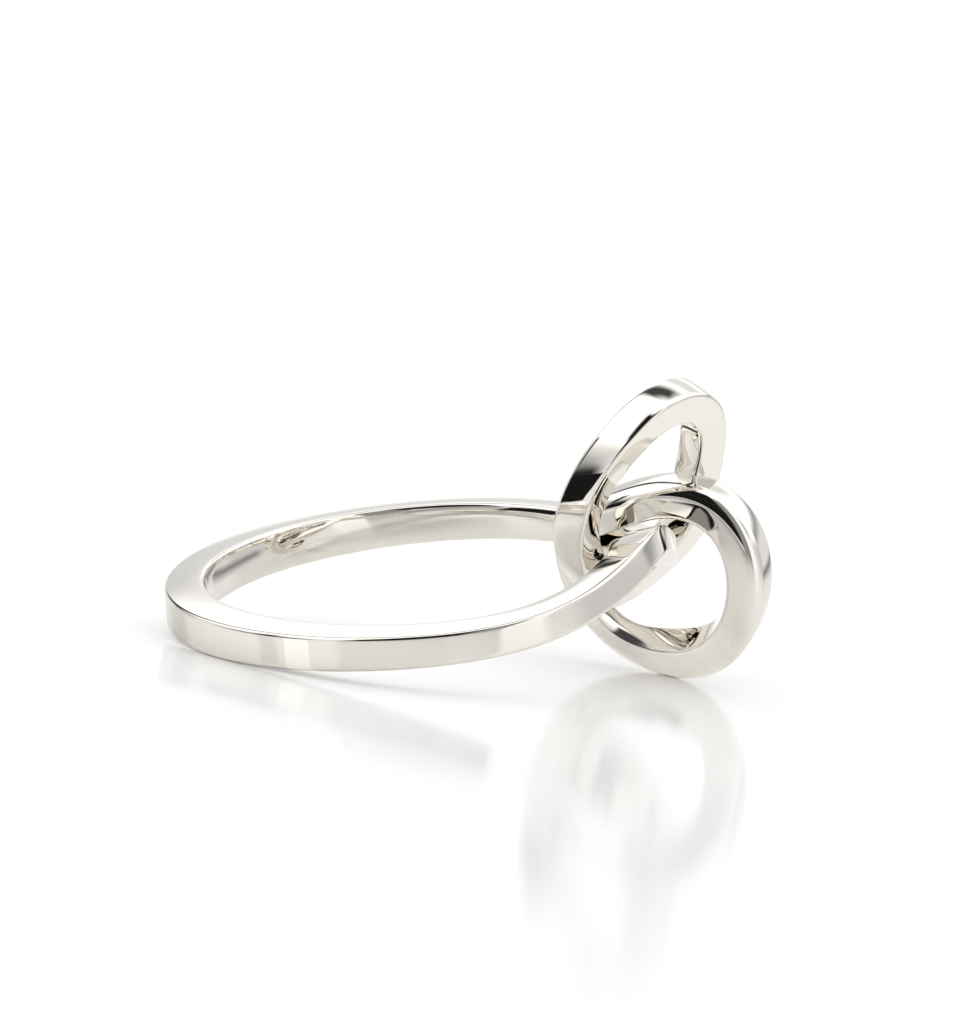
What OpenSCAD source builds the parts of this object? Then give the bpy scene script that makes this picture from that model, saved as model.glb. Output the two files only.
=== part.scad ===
// Knot ring: a round band that carries an upper and a lower open loop at its head.
// The three wires are soldered where they touch, so the ring is one solid.
// It lies on its side as it rests by itself: floor at z = 0, head toward +X, front toward -Y.
// Everything is shaped in the band's own plane first, and then leaned onto the floor.

/* [Band] */
// Outside diameter of the band
band_d = 20.8; // [20:0.1:22]
// Thickness of the band's wire, measured toward the finger
band_t = 1.59; // [1.4:0.01:1.8]
// Height of the band's outer face, halfway round
band_outer_h = 1.28; // [1.1:0.01:1.5]
// Height of the band's inner face, halfway round
band_inner_h = 1.58; // [1.3:0.01:1.8]
// Part of that height that the back of the band has more, and the head less
back_swell = 0.16; // [0:0.01:0.25]

/* [Head of the band] */
// Direction of the head's middle, counted from +X
head_dir = -7.2; // [-12:0.1:0]
// Angle on each side over which the band leaves its plane
head_reach = 34.3; // [28:0.1:40]
// Height of the head's middle above the band's plane
head_rise = 1.03; // [0.6:0.01:1.3]
// How much higher the front arm runs, and how much lower the back arm
arm_cross = 1.24; // [0.8:0.01:1.5]
// How far the head is pressed flat, toward the finger
head_press = 0.7; // [0:0.01:0.8]
// Angle on each side over which it is pressed
press_reach = 28; // [26:0.1:36]
// Lean of the band's section all round
band_lean = -1.2; // [-4:0.1:4]
// Further lean of the section at the head's middle
head_lean = -7.2; // [-12:0.1:0]
// Twist of the section from the back arm to the front arm
head_twist = 21.2; // [0:0.1:25]

/* [Upper loop] */
// Mean radius of the loop's middle line
upper_r = 4.07; // [3.8:0.01:4.3]
// Width of its wire
upper_w = 1.36; // [1.2:0.01:1.5]
// Depth of its wire
upper_depth = 1.39; // [1.2:0.01:1.5]
// Place of its middle: outward from the head's edge, toward the back, and up
upper_place = [-1.90, 1.81, 1.93];
// Direction that its near face looks in, seen from above, from the front toward the head
upper_turn = 45.9; // [40:0.1:50]
// Angle that its near face looks down by
upper_dip = 30.4; // [25:0.1:35]
// Stretch into an oval, and the direction of its long axis
upper_oval = [1.01, 113.6];
// Pull toward a rounded triangle, and the direction of a corner
upper_corner = [0.45, 74.4];
// Bend out of its plane like a saddle, and its direction
upper_saddle = [0.39, 31.5];
// Small third wave out of its plane, and its direction
upper_wave = [0.19, 0.6];
// Lean of the wire's section: all round, once round and twice round, each with its direction
upper_lean = [[-2.1, 0], [2.6, 244.4], [10.1, 101.1]];
// Angle that its near face rolls over by toward the rim
upper_roll = 4; // [1:0.5:20]

/* [Lower loop] */
// Mean radius of the loop's middle line
lower_r = 3.76; // [3.6:0.01:4]
// Width of its wire
lower_w = 1.43; // [1.3:0.01:1.6]
// Depth of its wire, measured on the rim
lower_depth = 1.31; // [1.2:0.01:1.4]
// Place of its middle: outward from the head's edge, toward the back, and up
lower_place = [-1.21, 2.70, -1.24];
// Direction that its near face looks in, seen from above, from the front toward the head
lower_turn = -35.5; // [-40:0.1:-31]
// Angle that its near face looks down by
lower_dip = 4.3; // [0:0.1:9]
// Stretch into an oval, and the direction of its long axis
lower_oval = [0.45, 11.4];
// Pull toward a rounded triangle, and the direction of a corner
lower_corner = [0.14, 65.6];
// Bend out of its plane like a saddle, and its direction
lower_saddle = [0.47, 111.7];
// Small third wave out of its plane, and its direction
lower_wave = [0.16, 115.5];
// Lean of the wire's section: all round, once round and twice round, each with its direction
lower_lean = [[20.5, 0], [21.7, 253.7], [12.3, 40.1]];
// How far its inner edge stands out on the near side: all round, and once round with its direction
lower_near_rise = [[0.10, 0], [0.59, 50.5]];
// The same on the far side
lower_far_rise = [[0.07, 0], [0.28, 322.4]];
// Angle that its near face rolls over by toward the rim: all round, and once round with its direction
lower_roll = [[45, 0], [34, 90.8]];

/* [Edges] */
// Radius of the wires' rounded edges
edge_r = 0.15; // [0.1:0.01:0.25]

/* [Rest] */
// Direction of the side that the lower loop lifts off the floor, counted from +X
lifted_side = 37; // [25:1:50]

/* [Hidden] */
band_stations = 96;
loop_stations = 72;
edge_points = 3;
roll_points = 5;
band_mid_r = (band_d - band_t) / 2;
tangent_step = 0.5;

function unit(v) = v / norm(v);
function wrapped(angle) = angle - 360 * floor((angle + 180) / 360);

// A point of a circle
function on_circle(r, angle) = r * [cos(angle), sin(angle)];

// Direction that the side from p to q of a section looks in. A section is gone round from outward to near.
function looks(p, q) = atan2(p[0] - q[0], q[1] - p[1]);

// Middle of a section's rounded edge, between sides that look in the directions a and b
function edge_middle(corner, a, b) = corner - on_circle(edge_r / cos((b - a) / 2), (a + b) / 2);

// The rounded edge's points
function edge(corner, a, b) =
    [for (k = [0 : edge_points - 1])
        edge_middle(corner, a, b) + on_circle(edge_r, a + (b - a) * k / (edge_points - 1))];

// A wire's section as points [outward, toward the near side], going round once. Its corners are given outer
// near, inner near, inner far, outer far. The near side is flat on its inner half and rolls over toward the
// outer corner by the angle roll.
function section(corners, roll) =
    let (
        near = looks(corners[0], corners[1]),
        far = 360 + looks(corners[2], corners[3]),
        start = near - roll * 3 / 4,
        end = near + roll / 4,
        p = edge_middle(corners[0], 0, start),
        q = edge_middle(corners[1], end, 180)
    )
    [
        each edge(corners[0], 0, start),
        each roll == 0 ? [] : rolled(p, q, near, roll),
        each edge(corners[1], end, 180),
        each edge(corners[2], 180, far),
        each edge(corners[3], far, 360)
    ];

// Points of the rolled half of a near side, whose edges have their middles at p and q
function rolled(p, q, near, roll) =
    let (
        half = norm(q - p) / 2,
        r = half / cos(roll / 4) / sin(roll / 2) / 2,
        hub = (p + q) / 2 + on_circle(half * tan(roll / 4), near) - on_circle(r, near + roll / 4)
    )
    [for (k = [1 : roll_points]) hub + on_circle(r + edge_r, near + roll * (k / roll_points - 3 / 4))];

// A section's points in space: mid is the wire's middle, out and near are its two unit directions,
// and lean turns the section about the wire.
function placed(mid, out, near, lean, outline) =
    let (a = out * cos(lean) - near * sin(lean), b = out * sin(lean) + near * cos(lean))
    [for (p = outline) mid + a * p[0] + b * p[1]];

// A smooth hump over an angle on each side
function hump(angle, reach) = exp(-pow(angle / reach, 2));

// How much the head's rise counts at an angle from the head, and how much its front-to-back difference
function head_hump(angle) = hump(angle, head_reach);
function head_slope(angle) = 1.6 * angle / head_reach * head_hump(angle);

function band_mid(dir) =
    let (angle = wrapped(dir - head_dir), r = band_mid_r - head_press * hump(angle, press_reach))
    [r * cos(dir), r * sin(dir), head_rise * head_hump(angle) - arm_cross * head_slope(angle)];

function band_ring(dir) =
    let (
        angle = wrapped(dir - head_dir),
        along = unit(band_mid(dir + tangent_step) - band_mid(dir - tangent_step)),
        out = unit(cross(along, [0, 0, 1])),
        swell = 1 - back_swell * cos(angle),
        lean = band_lean + head_lean * head_hump(angle) + head_twist * head_slope(angle),
        x = band_t / 2,
        outer = band_outer_h * swell / 2,
        inner = band_inner_h * swell / 2
    )
    placed(band_mid(dir), out, cross(out, along), lean,
           section([[x, outer], [-x, inner], [-x, -inner], [x, -outer]], 0));

// A wave of n periods round a loop: size is [height, direction]
function wave(size, n, dir) = size[0] * cos(n * (dir - size[1]));

// An even part and a wave of one period round a loop
function once(parts, dir) = parts[0][0] + wave(parts[1], 1, dir);

// A loop is [mean radius, wire width, wire depth, place, turn, dip, oval, corner, saddle, wave, lean,
// near rise, far rise, roll].
level_rise = [[0, 0], [0, 0]];
upper = [upper_r, upper_w, upper_depth, upper_place, upper_turn, upper_dip, upper_oval, upper_corner,
         upper_saddle, upper_wave, upper_lean, level_rise, level_rise, [[upper_roll, 0], [0, 0]]];
lower = [lower_r, lower_w, lower_depth, lower_place, lower_turn, lower_dip, lower_oval, lower_corner,
         lower_saddle, lower_wave, lower_lean, lower_near_rise, lower_far_rise, lower_roll];

// The direction that a loop's near face looks in
function facing(loop) = [cos(loop[5]) * sin(loop[4]), -cos(loop[5]) * cos(loop[4]), -sin(loop[5])];

function loop_mid(loop, dir) =
    let (
        near = facing(loop),
        level = unit(cross([0, 0, 1], near)),
        r = loop[0] + wave(loop[6], 2, dir) + wave(loop[7], 3, dir),
        lift = wave(loop[8], 2, dir) + wave(loop[9], 3, dir)
    )
    [band_d / 2, 0, 0] + loop[3] + r * (level * cos(dir) + cross(near, level) * sin(dir)) + lift * near;

function loop_ring(loop, dir) =
    let (
        along = unit(loop_mid(loop, dir + tangent_step) - loop_mid(loop, dir - tangent_step)),
        out = unit(cross(along, facing(loop))),
        lean = once(loop[10], dir) + wave(loop[10][2], 2, dir),
        x = loop[1] / 2,
        y = loop[2] / 2,
        near = y + once(loop[11], dir),
        far = y + once(loop[12], dir)
    )
    placed(loop_mid(loop, dir), out, cross(out, along), lean,
           section([[x, y], [-x, near], [-x, -far], [x, -y]], once(loop[13], dir)));

band_rings = [for (i = [0 : band_stations - 1]) band_ring(360 * i / band_stations)];
upper_rings = [for (i = [0 : loop_stations - 1]) loop_ring(upper, 360 * i / loop_stations)];
lower_rings = [for (i = [0 : loop_stations - 1]) loop_ring(lower, 360 * i / loop_stations)];

// The rest: the ring leans until the band's low rim and the lower loop touch the same floor.
function leaned(p, lean) =
    let (
        u = p[0] * cos(lifted_side) + p[1] * sin(lifted_side),
        v = -p[0] * sin(lifted_side) + p[1] * cos(lifted_side),
        x = u * cos(lean) - p[2] * sin(lean)
    )
    [x * cos(lifted_side) - v * sin(lifted_side), x * sin(lifted_side) + v * cos(lifted_side),
     u * sin(lean) + p[2] * cos(lean)];
function lowest(rings, lean) = min([for (ring = rings, p = ring) leaned(p, lean)[2]]);
function settled(low, high, tries) =
    let (lean = (low + high) / 2)
    tries == 0 ? lean
    : lowest(lower_rings, lean) < lowest(band_rings, lean) ? settled(lean, high, tries - 1)
    : settled(low, lean, tries - 1);
rest_lean = settled(0, 30, 20);
rest_points = [
    for (rings = [band_rings, upper_rings, lower_rings], ring = rings, p = ring) leaned(p, rest_lean)
];
function middle(axis) = (min([for (p = rest_points) p[axis]]) + max([for (p = rest_points) p[axis]])) / 2;
rest_shift = [-middle(0), -middle(1), -min([for (p = rest_points) p[2]])];

// A closed wire through rings of section points, the last ring joined to the first
module wire(rings) {
    n = len(rings);
    m = len(rings[0]);
    polyhedron(
        points = [for (ring = rings, p = ring) p],
        faces = [for (i = [0 : n - 1], j = [0 : m - 1])
            let (next_i = (i + 1) % n, next_j = (j + 1) % m)
            each [[i * m + j, i * m + next_j, next_i * m + next_j],
                  [i * m + j, next_i * m + next_j, next_i * m + j]]]
    );
}

module band() wire(band_rings);

module upper_loop() wire(upper_rings);

module lower_loop() wire(lower_rings);

module ring() {
    color("lightgray")
        translate(rest_shift)
            rotate([0, 0, lifted_side])
                rotate([0, -rest_lean, 0])
                    rotate([0, 0, -lifted_side])
                        union() {
                            band();
                            upper_loop();
                            lower_loop();
                        }
}

ring();
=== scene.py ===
import math

import bpy
import numpy as np
from mathutils import Matrix, Vector


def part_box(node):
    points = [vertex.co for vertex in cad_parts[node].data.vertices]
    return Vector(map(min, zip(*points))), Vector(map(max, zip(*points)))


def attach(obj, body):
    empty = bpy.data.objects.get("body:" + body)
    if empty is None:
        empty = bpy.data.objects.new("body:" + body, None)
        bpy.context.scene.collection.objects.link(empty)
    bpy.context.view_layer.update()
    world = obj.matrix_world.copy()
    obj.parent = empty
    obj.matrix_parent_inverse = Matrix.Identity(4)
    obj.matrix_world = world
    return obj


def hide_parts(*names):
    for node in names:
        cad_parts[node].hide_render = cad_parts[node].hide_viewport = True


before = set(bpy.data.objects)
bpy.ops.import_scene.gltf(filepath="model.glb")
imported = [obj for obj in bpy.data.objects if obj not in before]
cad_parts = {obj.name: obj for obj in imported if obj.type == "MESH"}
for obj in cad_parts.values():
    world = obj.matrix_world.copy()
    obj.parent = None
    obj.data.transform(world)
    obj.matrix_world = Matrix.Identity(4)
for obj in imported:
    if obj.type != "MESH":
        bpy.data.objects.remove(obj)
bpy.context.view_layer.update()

# Sizes are in millimetres and angles in degrees, as in the CAD source. MM turns a size into metres.
MM = 0.001

# Band
BAND_D = 20.8
BAND_T = 1.59
BAND_OUTER_H = 1.28
BAND_INNER_H = 1.58
BACK_SWELL = 0.16
HEAD_DIR = -7.2
HEAD_REACH = 34.3
HEAD_RISE = 1.03
HEAD_SLOPE = 1.6
ARM_CROSS = 1.24
HEAD_PRESS = 0.7
PRESS_REACH = 28
BAND_LEAN = -1.2
HEAD_LEAN = -7.2
HEAD_TWIST = 21.2

# Loops. Each wave is (times round the loop, height, direction). For a lean or a roll, the height is an
# angle.
UPPER = dict(
    r=4.07, w=1.36, depth=1.39, place=(-1.90, 1.81, 1.93), turn=45.9, dip=30.4,
    round_waves=((2, 1.01, 113.6), (3, 0.45, 74.4)),
    lift_waves=((2, 0.39, 31.5), (3, 0.19, 0.6)),
    lean=-2.1, lean_waves=((1, 2.6, 244.4), (2, 10.1, 101.1)),
    near_rise=0, near_rise_waves=(), far_rise=0, far_rise_waves=(), roll=4, roll_waves=(),
)
LOWER = dict(
    r=3.76, w=1.43, depth=1.31, place=(-1.21, 2.70, -1.24), turn=-35.5, dip=4.3,
    round_waves=((2, 0.45, 11.4), (3, 0.14, 65.6)),
    lift_waves=((2, 0.47, 111.7), (3, 0.16, 115.5)),
    lean=20.5, lean_waves=((1, 21.7, 253.7), (2, 12.3, 40.1)),
    near_rise=0.10, near_rise_waves=((1, 0.59, 50.5),),
    far_rise=0.07, far_rise_waves=((1, 0.28, 322.4),),
    roll=45, roll_waves=((1, 34, 90.8),),
)

# Rest on the floor: the direction that tips up, and how far, as the CAD source works it out
LIFTED_SIDE = 37.0
REST_LEAN = 13.8632

# Wire sections: the edges' fillet radius, and how far the outer, near, inner and far faces stand proud
EDGE_R = 0.15
BAND_CROWN = (0.005, 0.02, 0.06, 0.02)
LOOP_CROWN = (0.03, 0.02, 0.03, 0.02)

# Fineness: points on a face, on a face's rolled half and on an edge, stations along a wire, and the
# degrees to each side of a station over which the wire's direction is measured
FACE_STEPS = 10
ROLL_STEPS = 12
EDGE_STEPS = 8
BAND_STATIONS = 480
LOOP_STATIONS = 320
BESIDE = 0.5

# White metal: the tones it varies between, and what polishing left on it. The band is worn more than the
# loops and shows more lines.
BRIGHT_TONE = (0.91, 0.88, 0.825)
DULL_TONE = (0.88, 0.85, 0.795)
POLISH_SIZES = {"Line Length": 2.5, "Line Width": 0.035, "Cloud Size": 1.6, "Wave Size": 2.2}
BAND_POLISH = {**POLISH_SIZES, "Smoothest": 0.02, "Roughest": 0.07, "Line Share": 0.6}
LOOP_POLISH = {**POLISH_SIZES, "Smoothest": 0.02, "Roughest": 0.05, "Line Share": 0.4}
BAND_WAVE_HEIGHT = 0.004
LOOP_WAVE_HEIGHT = 0.003

# Noise in the polish: its detail, the range that most of its values lie in, and the lines' height as a
# share of the waves'
LINE_DETAIL = 2
CLOUD_DETAIL = 3
WAVE_DETAIL = 0
NOISE_RANGE = (0.3, 0.7)
LINE_HEIGHT = 0.01

# Floor. The camera sees the second value of each pair, and all other rays meet the first. The first tone,
# darker and warmer, is a painted reflection: the floor as the metal reflects it. Inside the band it is
# also multiplied by SHADE, a painted shade, which fades out over two distances from a middle.
FLOOR_SIDE = 4000
FLOOR_TONES = ((0.91, 0.90, 0.88), (0.96, 0.96, 0.96))
FLOOR_ROUGHNESS = (0.05, 0.11)
FLOOR_SHINE = (0.5, 0.07)
SHADE = 0.75
SHADE_MIDDLE = (1.5, -2)
SHADE_FADE = (3.5, 7.5)

# Sheets on the floor, which only the metal shows: painted reflections. The dark sheet, a painted dark
# reflection, lies between two azimuths and two distances from a place under the ring.
SHEET_HEIGHT = 0.05
SHEET_ROUGHNESS = 0.9
DARK_REFLECTION_TONE = 0.01
DARK_REFLECTION_FROM = (3, 1)
DARK_REFLECTION_AZIMUTHS = (-80, -50)
DARK_REFLECTION_DISTANCES = (21, 1500)
# The white card, a glowing painted bright reflection, lies between two lines that leave the band's foot
CARD_TONE = 1.0
CARD_PAINTED_GLOW = 0.12
CARD_FEET = ((-6.25, -8.2), (-5.3, -8.6))
CARD_AZIMUTHS = (-67, -56)
CARD_LENGTH = 7
# The glowing patch, a painted bright reflection in the lower loop's foot, is a square under the lower
# loop, and fades from its middle outward
PATCH_TONE = 1.0
PATCH_PAINTED_GLOW = 0.2
PATCH_MIDDLE = (7.8, 2.2)
PATCH_FADE = (0.8, 4.5)
PATCH_CORNERS = (-135, 135, 45, -45)
PATCH_REACH = 6.75

# Camera at the photo's angle
CAMERA_AZIMUTH = -2.009
CAMERA_ELEVATION = 6.09
CAMERA_ROLL = -6.315
CAMERA_DISTANCE = 300
CAMERA_TARGET = (0.127, 0.2294, 5.9517)
CAMERA_LENS = 267.4
CAMERA_SENSOR = 36
CAMERA_CLIP = (10, 50000)

# Studio. Azimuth 0 is toward the camera, positive to the right, and elevation 0 is the horizon. The metal
# shows a sky that brightens from LOW_SKY to HIGH_SKY over SKY_RISE, and all else is lit by SOFT_LIGHT.
LOW_SKY = 0.80
HIGH_SKY = 1.3
SKY_RISE = (17, 29)
SOFT_LIGHT = 1.06
# Cards in front of the sky: azimuth, half width, side softness, elevation, half height, end softness and
# brightness. A later card covers the earlier ones.
CARDS = {
    "back_low": (178, 14, 6, 6, 6, 4, 1.15),
    "right_side": (95, 30, 7, 6, 18, 7, 0.64),
    "right_window": (40, 10, 3, 20, 60, 4, 1.1),
    "right_top": (56, 8, 5, 35, 9, 5, 0.6),
    "left_end": (-160, 14, 4, 16, 8, 3, 0.7),
    "left_low": (-75, 17, 10, 2, 12, 5, 0.45),
    "left_dark": (-68, 12, 5, 0, 6, 5, 0.02),
    "left_post": (-78, 5, 2, 18, 11, 2, 0.06),
    "back_left": (-132, 10, 4, 7, 10, 5, 0.5),
    "back_left_gap": (-148, 11, 4, 38, 26, 4, 0.05),
    "back_top_gap": (-168, 42, 16, 73, 10, 7, 0.06),
    "back_high": (165, 14, 6, 41, 9, 4, 0.85),
    "back_right_high": (137, 20, 4, 19, 3, 4, 0.35),
    "back_right_low": (125, 27, 4, 0, 2, 2, 0.25),
    "front_right": (19, 12, 2, 25, 38, 4, 0.3),
    "front_low": (-16, 25, 3, 18, 16, 2, 0.01),
    "front_high": (-18, 27, 4, 49, 18, 4, 0.01),
}


def cosd(a):
    return np.cos(np.radians(a))


def sind(a):
    return np.sin(np.radians(a))


def unit(v):
    return v / np.linalg.norm(v, axis=-1, keepdims=True)


def on_circle(r, angle):
    return r * np.array([cosd(angle), sind(angle)])


def looks(p, q):
    """Direction that the side from p to q of a section looks in."""
    return math.degrees(math.atan2(p[0] - q[0], q[1] - p[1]))


def roll_span(direction, roll):
    """Directions that a rolled near face looks in, at its outer end and on its flat inner half."""
    return direction - roll * 3 / 4, direction + roll / 4


def crowned_face(p, q, crown):
    """Points of a face between two edge middles, and its ends' directions."""
    direction, half = looks(p, q), np.linalg.norm(q - p) / 2
    spread = 2 * math.degrees(math.atan(crown / half))
    points = []
    for s in np.linspace(-1, 1, FACE_STEPS):
        bulge = on_circle(crown * (1 - s * s), direction)
        points.append((p + q) / 2 + (q - p) / 2 * s + bulge + on_circle(EDGE_R, direction + spread * s))
    return points, (direction - spread, direction + spread)


def rolled_face(p, q, roll):
    """Points of a near face that is flat toward q and rolls over toward p, and its ends' directions."""
    direction, half = looks(p, q), np.linalg.norm(q - p) / 2
    start, end = roll_span(direction, roll)
    r = half / cosd(roll / 4) / sind(roll / 2) / 2
    middle = (p + q) / 2 + on_circle(half * math.tan(math.radians(roll / 4)), direction)
    hub = middle - on_circle(r, end)
    points = [hub + on_circle(r + EDGE_R, turn) for turn in np.linspace(start, end, ROLL_STEPS)]
    flat = on_circle(EDGE_R, end)
    points += [middle + (q - middle) * s + flat for s in np.linspace(0, 1, FACE_STEPS // 2)[1:]]
    return points, (start, end)


def section(corners, roll, crown):
    """A wire's section as (outward, toward the near side), going round once from the outer near corner."""
    corners = np.array(corners)
    near_start, near_end = roll_span(looks(corners[0], corners[1]), roll)
    far = looks(corners[2], corners[3]) + 360
    sides = [(0, near_start), (near_end, 180), (180, far), (far, 360)]
    middles = []
    for corner, (a, b) in zip(corners, sides):
        middles.append(corner - on_circle(EDGE_R / cosd((b - a) / 2), (a + b) / 2))
    faces = []
    for k in range(4):
        p, q = middles[k], middles[(k + 1) % 4]
        if k == 0 and roll:
            faces.append(rolled_face(p, q, roll))
        else:
            faces.append(crowned_face(p, q, crown[(k + 1) % 4]))
    points = []
    for k in range(4):
        start, end = faces[k - 1][1][1], faces[k][1][0]
        for angle in np.linspace(start, start + (end - start) % 360, EDGE_STEPS + 2)[1:-1]:
            points.append(middles[k] + on_circle(EDGE_R, angle))
        points += faces[k][0]
    return np.array(points)


def stations(count):
    """Directions of a wire's stations, once round."""
    return np.arange(count) * 360 / count


def wave(waves, direction):
    """Sum of waves round a loop. Without any it is level."""
    return sum((height * cosd(n * (direction - at)) for n, height, at in waves), np.zeros_like(direction))


def rings_along(middle_line, direction, axis, lean, sections):
    """Rings of points in space: each station's section, set square to the middle line and leaned."""
    along = unit(middle_line(direction + BESIDE) - middle_line(direction - BESIDE))
    out = unit(np.cross(along, axis))
    near = np.cross(out, along)
    leaned_out = out * cosd(lean)[:, None] - near * sind(lean)[:, None]
    leaned_near = out * sind(lean)[:, None] + near * cosd(lean)[:, None]
    outline = np.array(sections)
    rings = middle_line(direction)[:, None] + leaned_out[:, None] * outline[..., :1]
    return rings + leaned_near[:, None] * outline[..., 1:]


def head_angle(direction):
    return (direction - HEAD_DIR + 180) % 360 - 180


def hump(angle, reach):
    return np.exp(-((angle / reach) ** 2))


def head_hump(angle):
    return hump(angle, HEAD_REACH)


def head_slope(angle):
    return HEAD_SLOPE * angle / HEAD_REACH * head_hump(angle)


def band_mid(direction):
    angle = head_angle(direction)
    r = (BAND_D - BAND_T) / 2 - HEAD_PRESS * hump(angle, PRESS_REACH)
    z = HEAD_RISE * head_hump(angle) - ARM_CROSS * head_slope(angle)
    return np.stack([r * cosd(direction), r * sind(direction), z], -1)


def band_rings():
    direction = stations(BAND_STATIONS)
    angle = head_angle(direction)
    swell = 1 - BACK_SWELL * cosd(angle)
    lean = BAND_LEAN + HEAD_LEAN * head_hump(angle) + HEAD_TWIST * head_slope(angle)
    x = BAND_T / 2
    sections = []
    for outer, inner in zip(BAND_OUTER_H * swell / 2, BAND_INNER_H * swell / 2):
        sections.append(section([(x, outer), (-x, inner), (-x, -inner), (x, -outer)], 0, BAND_CROWN))
    return rings_along(band_mid, direction, (0, 0, 1), lean, sections)


def facing(loop):
    """Direction that a loop's near side looks in."""
    turn, dip = loop["turn"], loop["dip"]
    return np.array([cosd(dip) * sind(turn), -cosd(dip) * cosd(turn), -sind(dip)])


def loop_mid(loop, direction):
    near = facing(loop)
    level = unit(np.cross((0, 0, 1), near))
    across = np.cross(near, level)
    r = loop["r"] + wave(loop["round_waves"], direction)
    lift = wave(loop["lift_waves"], direction)
    hub = np.array([BAND_D / 2, 0, 0]) + np.array(loop["place"])
    circle = cosd(direction)[:, None] * level + sind(direction)[:, None] * across
    return hub + r[:, None] * circle + lift[:, None] * near


def loop_rings(loop):
    direction = stations(LOOP_STATIONS)
    lean = loop["lean"] + wave(loop["lean_waves"], direction)
    x, y = loop["w"] / 2, loop["depth"] / 2
    near = y + loop["near_rise"] + wave(loop["near_rise_waves"], direction)
    far = y + loop["far_rise"] + wave(loop["far_rise_waves"], direction)
    roll = loop["roll"] + wave(loop["roll_waves"], direction)
    sections = []
    for up, down, turn in zip(near, far, roll):
        sections.append(section([(x, y), (-x, up), (-x, -down), (x, -y)], turn, LOOP_CROWN))
    return rings_along(lambda at: loop_mid(loop, at), direction, facing(loop), lean, sections)


def leaned(rings):
    """A wire's points in one list, leaned from the band's own plane onto the floor."""
    lean = (
        Matrix.Rotation(math.radians(LIFTED_SIDE), 3, "Z")
        @ Matrix.Rotation(math.radians(-REST_LEAN), 3, "Y")
        @ Matrix.Rotation(math.radians(-LIFTED_SIDE), 3, "Z")
    )
    return rings.reshape(-1, 3) @ np.array(lean).T


def rest_shift(all_rings):
    """Brings the leaned wires to the CAD ring's box: its middle in plan, and its foot on the floor."""
    points = np.concatenate([leaned(rings) for rings in all_rings])
    low, high = points.min(0), points.max(0)
    box_low, box_high = (np.array(corner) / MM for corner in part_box("ring"))
    shift = (box_low + box_high) / 2 - (low + high) / 2
    shift[2] = box_low[2] - low[2]
    return shift


def put_in(name, data):
    """Puts a mesh or a camera into the scene."""
    thing = bpy.data.objects.new(name, data)
    bpy.context.scene.collection.objects.link(thing)
    return thing


def lay_out(mesh, rings):
    """Gives a wire's faces their place in millimetres: u along the wire, v round its section."""
    steps_along = np.linalg.norm(np.roll(rings, -1, 0) - rings, axis=-1).mean(1)
    steps_round = np.linalg.norm(np.roll(rings, -1, 1) - rings, axis=-1).mean(0)
    u = np.concatenate([[0], np.cumsum(steps_along)])
    v = np.concatenate([[0], np.cumsum(steps_round)])
    n, m = rings.shape[:2]
    i, j = (k.ravel() for k in np.meshgrid(np.arange(n), np.arange(m), indexing="ij"))
    corners = np.stack([u[i], v[j], u[i], v[j + 1], u[i + 1], v[j + 1], u[i + 1], v[j]], -1)
    mesh.uv_layers.new(name="wire").data.foreach_set("uv", corners.ravel())


def wire(name, rings, shift):
    """A closed wire's mesh through rings of section points, in metres in the row frame."""
    n, m = rings.shape[:2]
    points = (leaned(rings) + shift) * MM
    i, j = np.meshgrid(np.arange(n), np.arange(m), indexing="ij")
    next_i, next_j = (i + 1) % n, (j + 1) % m
    faces = np.stack([i * m + j, i * m + next_j, next_i * m + next_j, next_i * m + j], -1).reshape(-1, 4)
    mesh = bpy.data.meshes.new(name)
    mesh.from_pydata(points.tolist(), [], faces.tolist())
    mesh.shade_smooth()
    lay_out(mesh, rings)
    piece = put_in(name, mesh)
    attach(piece, "root")
    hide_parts("ring")
    return piece


def make_wires():
    rings = {"band": band_rings(), "upper_loop": loop_rings(UPPER), "lower_loop": loop_rings(LOWER)}
    shift = rest_shift(rings.values())
    return {name: wire(name, r, shift) for name, r in rings.items()}


def feed(tree, socket, value):
    """Gives a socket a value, or links it to another node's output."""
    if isinstance(value, bpy.types.NodeSocket):
        tree.links.new(value, socket)
    else:
        socket.default_value = value


def math_node(tree, operation, *values):
    """A Math node's result. Here and below, a value is a number or another node's output."""
    node = tree.nodes.new("ShaderNodeMath")
    node.operation = operation
    for socket, value in zip(node.inputs, values):
        feed(tree, socket, value)
    return node.outputs[0]


def scaled(tree, vector, scale):
    """A vector or a tone times a number."""
    node = tree.nodes.new("ShaderNodeVectorMath")
    node.operation = "SCALE"
    feed(tree, node.inputs[0], vector)
    feed(tree, node.inputs["Scale"], scale)
    return node.outputs[0]


def mix_node(tree, kind, factor, a, b):
    """A Mix node's result: a where the factor is 0, b where it is 1."""
    node = tree.nodes.new("ShaderNodeMix")
    node.data_type = kind
    for name, value in (("Factor", factor), ("A", a), ("B", b)):
        feed(tree, node.inputs[name], value)
    return node.outputs["Result"]


def range_node(tree, value, old, new, kind="SMOOTHSTEP"):
    """A Map Range node's result: the value, taken from between two old ends to between two new ones."""
    node = tree.nodes.new("ShaderNodeMapRange")
    node.interpolation_type = kind
    feed(tree, node.inputs["Value"], value)
    for name, end in zip(("From Min", "From Max", "To Min", "To Max"), (*old, *new)):
        feed(tree, node.inputs[name], end)
    return node.outputs["Result"]


def noise(tree, vector, detail):
    """A Noise Texture node's value, from about 0 to 1."""
    node = tree.nodes.new("ShaderNodeTexNoise")
    node.inputs["Scale"].default_value = 1
    node.inputs["Detail"].default_value = detail
    tree.links.new(vector, node.inputs["Vector"])
    return node.outputs["Fac"]


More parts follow.
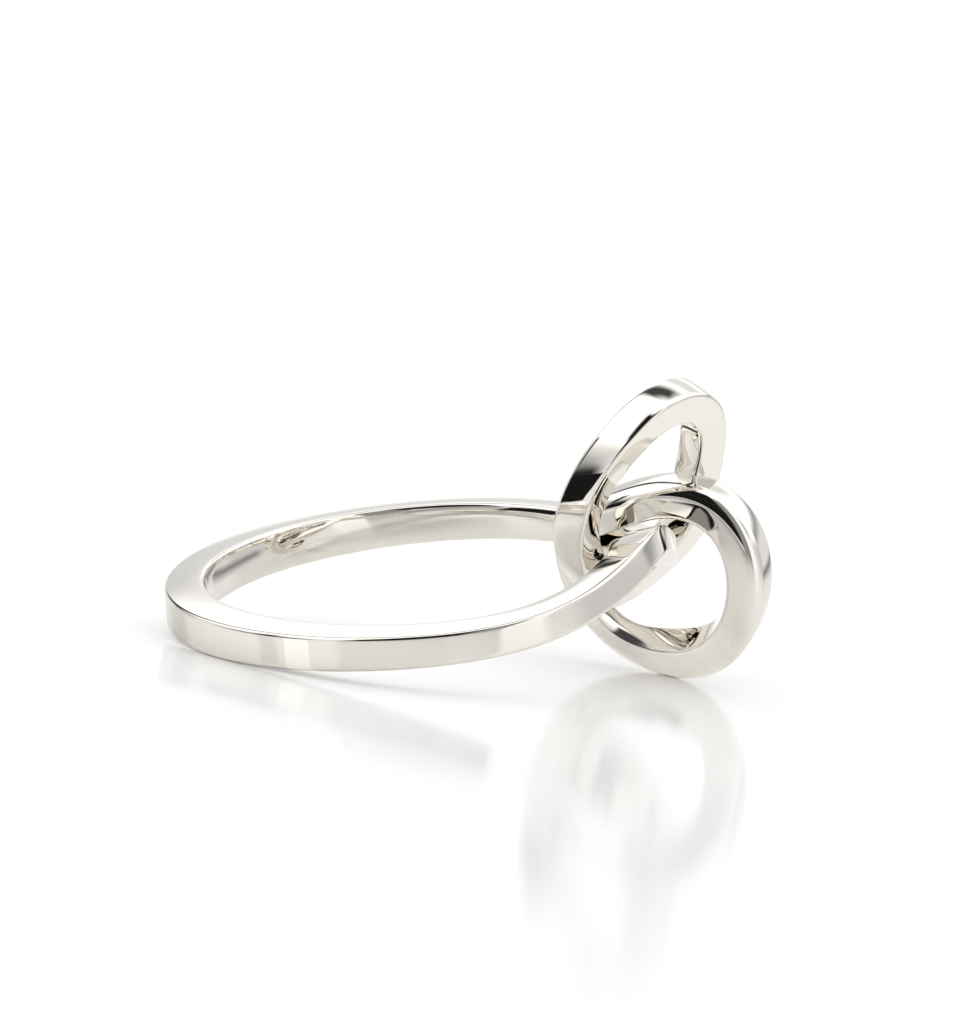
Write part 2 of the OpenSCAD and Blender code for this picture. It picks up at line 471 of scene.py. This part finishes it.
def fading(tree, middle, distances, values):
    """Goes from one value to another over distances from a place on the floor."""
    away = tree.nodes.new("ShaderNodeVectorMath")
    away.operation = "DISTANCE"
    place = tree.nodes.new("ShaderNodeTexCoord")
    tree.links.new(place.outputs["Object"], away.inputs[0])
    away.inputs[1].default_value = (middle[0] * MM, middle[1] * MM, 0)
    return range_node(tree, away.outputs["Value"], [distance * MM for distance in distances], values)


def number_group(name, input_names, output_names):
    """A new node group whose sockets take and give numbers, with its inputs and its outputs."""
    group = bpy.data.node_groups.new(name, "ShaderNodeTree")
    for in_out, socket_names in (("INPUT", input_names), ("OUTPUT", output_names)):
        for socket_name in socket_names:
            group.interface.new_socket(socket_name, in_out=in_out, socket_type="NodeSocketFloat")
    return group, group.nodes.new("NodeGroupInput").outputs, group.nodes.new("NodeGroupOutput").inputs


def new_material(name):
    """A new material, with its node tree and its shader."""
    material = bpy.data.materials.new(name)
    material.use_nodes = True
    return material, material.node_tree, material.node_tree.nodes["Principled BSDF"]


def polish_group():
    """What polishing leaves on metal: fine lines along the wire, cloudy patches and slight waves."""
    names = (*POLISH_SIZES, "Smoothest", "Roughest", "Line Share")
    group, inputs, outputs = number_group("polish", names, ("Tone", "Roughness", "Height"))
    place = group.nodes.new("ShaderNodeTexCoord").outputs
    # Millimetres along the wire and round it
    split = group.nodes.new("ShaderNodeSeparateXYZ")
    group.links.new(place["UV"], split.inputs[0])
    stretched = group.nodes.new("ShaderNodeCombineXYZ")
    for axis, size in (("X", "Line Length"), ("Y", "Line Width")):
        feed(group, stretched.inputs[axis], math_node(group, "DIVIDE", split.outputs[axis], inputs[size]))
    lines = noise(group, stretched.outputs[0], LINE_DETAIL)

    def over(size):
        """The object's own place, divided by a size in millimetres."""
        return scaled(group, place["Object"], math_node(group, "DIVIDE", 1 / MM, inputs[size]))

    clouds = noise(group, over("Cloud Size"), CLOUD_DETAIL)
    waves = noise(group, over("Wave Size"), WAVE_DETAIL)
    wear = mix_node(group, "FLOAT", inputs["Line Share"], clouds, lines)
    roughness = range_node(group, wear, NOISE_RANGE, (inputs["Smoothest"], inputs["Roughest"]), "LINEAR")
    height = math_node(group, "ADD", waves, math_node(group, "MULTIPLY", lines, LINE_HEIGHT))
    for name, value in (("Tone", clouds), ("Roughness", roughness), ("Height", height)):
        group.links.new(value, outputs[name])
    return group


def polished_metal(name, group, polish_values, wave_height):
    """Polished white metal, with its own values for the polish."""
    material, tree, shader = new_material(name)
    shader.inputs["Metallic"].default_value = 1.0
    polish = tree.nodes.new("ShaderNodeGroup")
    polish.node_tree = group
    for socket, value in polish_values.items():
        polish.inputs[socket].default_value = value
    tone = mix_node(tree, "RGBA", polish.outputs["Tone"], (*BRIGHT_TONE, 1), (*DULL_TONE, 1))
    tree.links.new(tone, shader.inputs["Base Color"])
    tree.links.new(polish.outputs["Roughness"], shader.inputs["Roughness"])
    bump = tree.nodes.new("ShaderNodeBump")
    bump.inputs["Distance"].default_value = wave_height * MM
    tree.links.new(polish.outputs["Height"], bump.inputs["Height"])
    tree.links.new(bump.outputs["Normal"], shader.inputs["Normal"])
    return material


def add_metal(wires):
    polish = polish_group()
    band_metal = polished_metal("band_metal", polish, BAND_POLISH, BAND_WAVE_HEIGHT)
    loop_metal = polished_metal("loop_metal", polish, LOOP_POLISH, LOOP_WAVE_HEIGHT)
    for name, piece in wires.items():
        piece.data.materials.append(band_metal if name == "band" else loop_metal)


def make_floor():
    bpy.ops.mesh.primitive_plane_add(size=FLOOR_SIDE * MM)
    floor = bpy.context.object
    floor.name = "floor"
    material, tree, shader = new_material("pale_floor")
    by_camera = tree.nodes.new("ShaderNodeLightPath").outputs["Is Camera Ray"]
    for name, values in (("Roughness", FLOOR_ROUGHNESS), ("Specular IOR Level", FLOOR_SHINE)):
        tree.links.new(mix_node(tree, "FLOAT", by_camera, *values), shader.inputs[name])
    # Painted shade: the floor that the metal reflects is darker inside the band
    shaded = scaled(tree, FLOOR_TONES[0], fading(tree, SHADE_MIDDLE, SHADE_FADE, (SHADE, 1)))
    tone = mix_node(tree, "RGBA", by_camera, shaded, (*FLOOR_TONES[1], 1))
    tree.links.new(tone, shader.inputs["Base Color"])
    floor.data.materials.append(material)


def on_floor(start, azimuth, distance):
    """A sheet's corner, a distance from a start in the direction of an azimuth."""
    turn = math.radians(azimuth)
    x, y = start[0] + distance * math.sin(turn), start[1] - distance * math.cos(turn)
    return (x * MM, y * MM, SHEET_HEIGHT * MM)


def lay_sheet(name, corners, tone, glow=0, fade=None):
    """A dull sheet on the floor that only the metal shows, as a painted reflection. Its corners go
    clockwise, seen from above.
    """
    mesh = bpy.data.meshes.new(name)
    mesh.from_pydata(corners, [], [(3, 2, 1, 0)])
    sheet = put_in(name, mesh)
    material, tree, shader = new_material(name)
    shader.inputs["Base Color"].default_value = (tone, tone, tone, 1)
    shader.inputs["Roughness"].default_value = SHEET_ROUGHNESS
    shader.inputs["Specular IOR Level"].default_value = 0
    shader.inputs["Emission Color"].default_value = (1, 1, 1, 1)
    shader.inputs["Emission Strength"].default_value = glow
    # Clear from below, so that the floor under it doesn't reflect it
    side = tree.nodes.new("ShaderNodeNewGeometry")
    above = math_node(tree, "SUBTRACT", 1, side.outputs["Backfacing"])
    if fade:
        above = math_node(tree, "MULTIPLY", above, fading(tree, *fade, (1, 0)))
    tree.links.new(above, shader.inputs["Alpha"])
    mesh.materials.append(material)
    sheet.visible_camera = sheet.visible_diffuse = sheet.visible_shadow = False


def lay_sheets():
    # The dark sheet: a painted dark reflection, seen only in the metal
    near, far = DARK_REFLECTION_DISTANCES
    left, right = DARK_REFLECTION_AZIMUTHS
    dark_reflection = [on_floor(DARK_REFLECTION_FROM, left, near), on_floor(DARK_REFLECTION_FROM, right, near)]
    dark_reflection += [on_floor(DARK_REFLECTION_FROM, right, far), on_floor(DARK_REFLECTION_FROM, left, far)]
    lay_sheet("dark_reflection_sheet", dark_reflection, DARK_REFLECTION_TONE)
    # The white card glows: a painted bright reflection, seen only in the metal
    (left_foot, right_foot), (left, right) = CARD_FEET, CARD_AZIMUTHS
    card = [on_floor(left_foot, left, 0), on_floor(right_foot, right, 0)]
    card += [on_floor(right_foot, right, CARD_LENGTH), on_floor(left_foot, left, CARD_LENGTH)]
    lay_sheet("white_reflection_card", card, CARD_TONE, CARD_PAINTED_GLOW)
    # The patch glows: a painted bright reflection in the lower loop's foot, seen only in the metal
    patch = [on_floor(PATCH_MIDDLE, azimuth, PATCH_REACH) for azimuth in PATCH_CORNERS]
    lay_sheet("glowing_reflection_patch", patch, PATCH_TONE, PATCH_PAINTED_GLOW, (PATCH_MIDDLE, PATCH_FADE))


def make_camera():
    data = bpy.data.cameras.new("camera")
    data.lens = CAMERA_LENS
    data.sensor_width = CAMERA_SENSOR
    data.clip_start, data.clip_end = (distance * MM for distance in CAMERA_CLIP)
    camera = put_in("camera", data)
    turn, rise = math.radians(CAMERA_AZIMUTH), math.radians(CAMERA_ELEVATION)
    back = Vector((math.sin(turn) * math.cos(rise), -math.cos(turn) * math.cos(rise), math.sin(rise)))
    camera.location = Vector(CAMERA_TARGET) * MM + back * CAMERA_DISTANCE * MM
    look = back.to_track_quat("Z", "Y").to_matrix()
    camera.rotation_euler = (look @ Matrix.Rotation(math.radians(-CAMERA_ROLL), 3, "Z")).to_euler()
    bpy.context.scene.camera = camera


def card_group():
    """Mask of a soft-edged card about an azimuth and an elevation."""
    place = ("Azimuth", "Half Width", "Side Softness", "Elevation", "Half Height", "End Softness")
    seen = ("Seen Azimuth", "Seen Elevation")
    group, inputs, outputs = number_group("studio_card", place + seen, ("Mask",))

    def inside(seen, middle, half, softness):
        """1 well inside the card and 0 outside it, in one of its two directions."""
        away = math_node(group, "SUBTRACT", inputs[seen], inputs[middle])
        away = math_node(group, "ABSOLUTE", math_node(group, "WRAP", away, 180, -180))
        ends = [math_node(group, sign, inputs[half], inputs[softness]) for sign in ("SUBTRACT", "ADD")]
        return range_node(group, away, ends, (1, 0))

    across = inside("Seen Azimuth", "Azimuth", "Half Width", "Side Softness")
    upright = inside("Seen Elevation", "Elevation", "Half Height", "End Softness")
    group.links.new(math_node(group, "MULTIPLY", across, upright), outputs["Mask"])
    return group


def make_studio():
    world = bpy.data.worlds.new("studio")
    world.use_nodes = True
    tree = world.node_tree
    backdrop = tree.nodes["Background"]
    backdrop.inputs["Color"].default_value = (1, 1, 1, 1)
    split = tree.nodes.new("ShaderNodeSeparateXYZ")
    tree.links.new(tree.nodes.new("ShaderNodeTexCoord").outputs["Generated"], split.inputs[0])
    front = math_node(tree, "MULTIPLY", split.outputs["Y"], -1)
    azimuth = math_node(tree, "DEGREES", math_node(tree, "ARCTAN2", split.outputs["X"], front))
    elevation = math_node(tree, "DEGREES", math_node(tree, "ARCSINE", split.outputs["Z"]))
    light = range_node(tree, elevation, SKY_RISE, (LOW_SKY, HIGH_SKY))
    group = card_group()
    for name, (*place, brightness) in CARDS.items():
        card = tree.nodes.new("ShaderNodeGroup")
        card.node_tree = group
        card.name = card.label = name
        for socket, value in zip(card.inputs, (*place, azimuth, elevation)):
            feed(tree, socket, value)
        light = mix_node(tree, "FLOAT", card.outputs["Mask"], light, brightness)
    by_metal = tree.nodes.new("ShaderNodeLightPath").outputs["Is Glossy Ray"]
    tree.links.new(mix_node(tree, "FLOAT", by_metal, SOFT_LIGHT, light), backdrop.inputs["Strength"])
    bpy.context.scene.world = world
    bpy.context.scene.view_settings.view_transform = "Standard"


add_metal(make_wires())
make_floor()
lay_sheets()
make_camera()
make_studio()
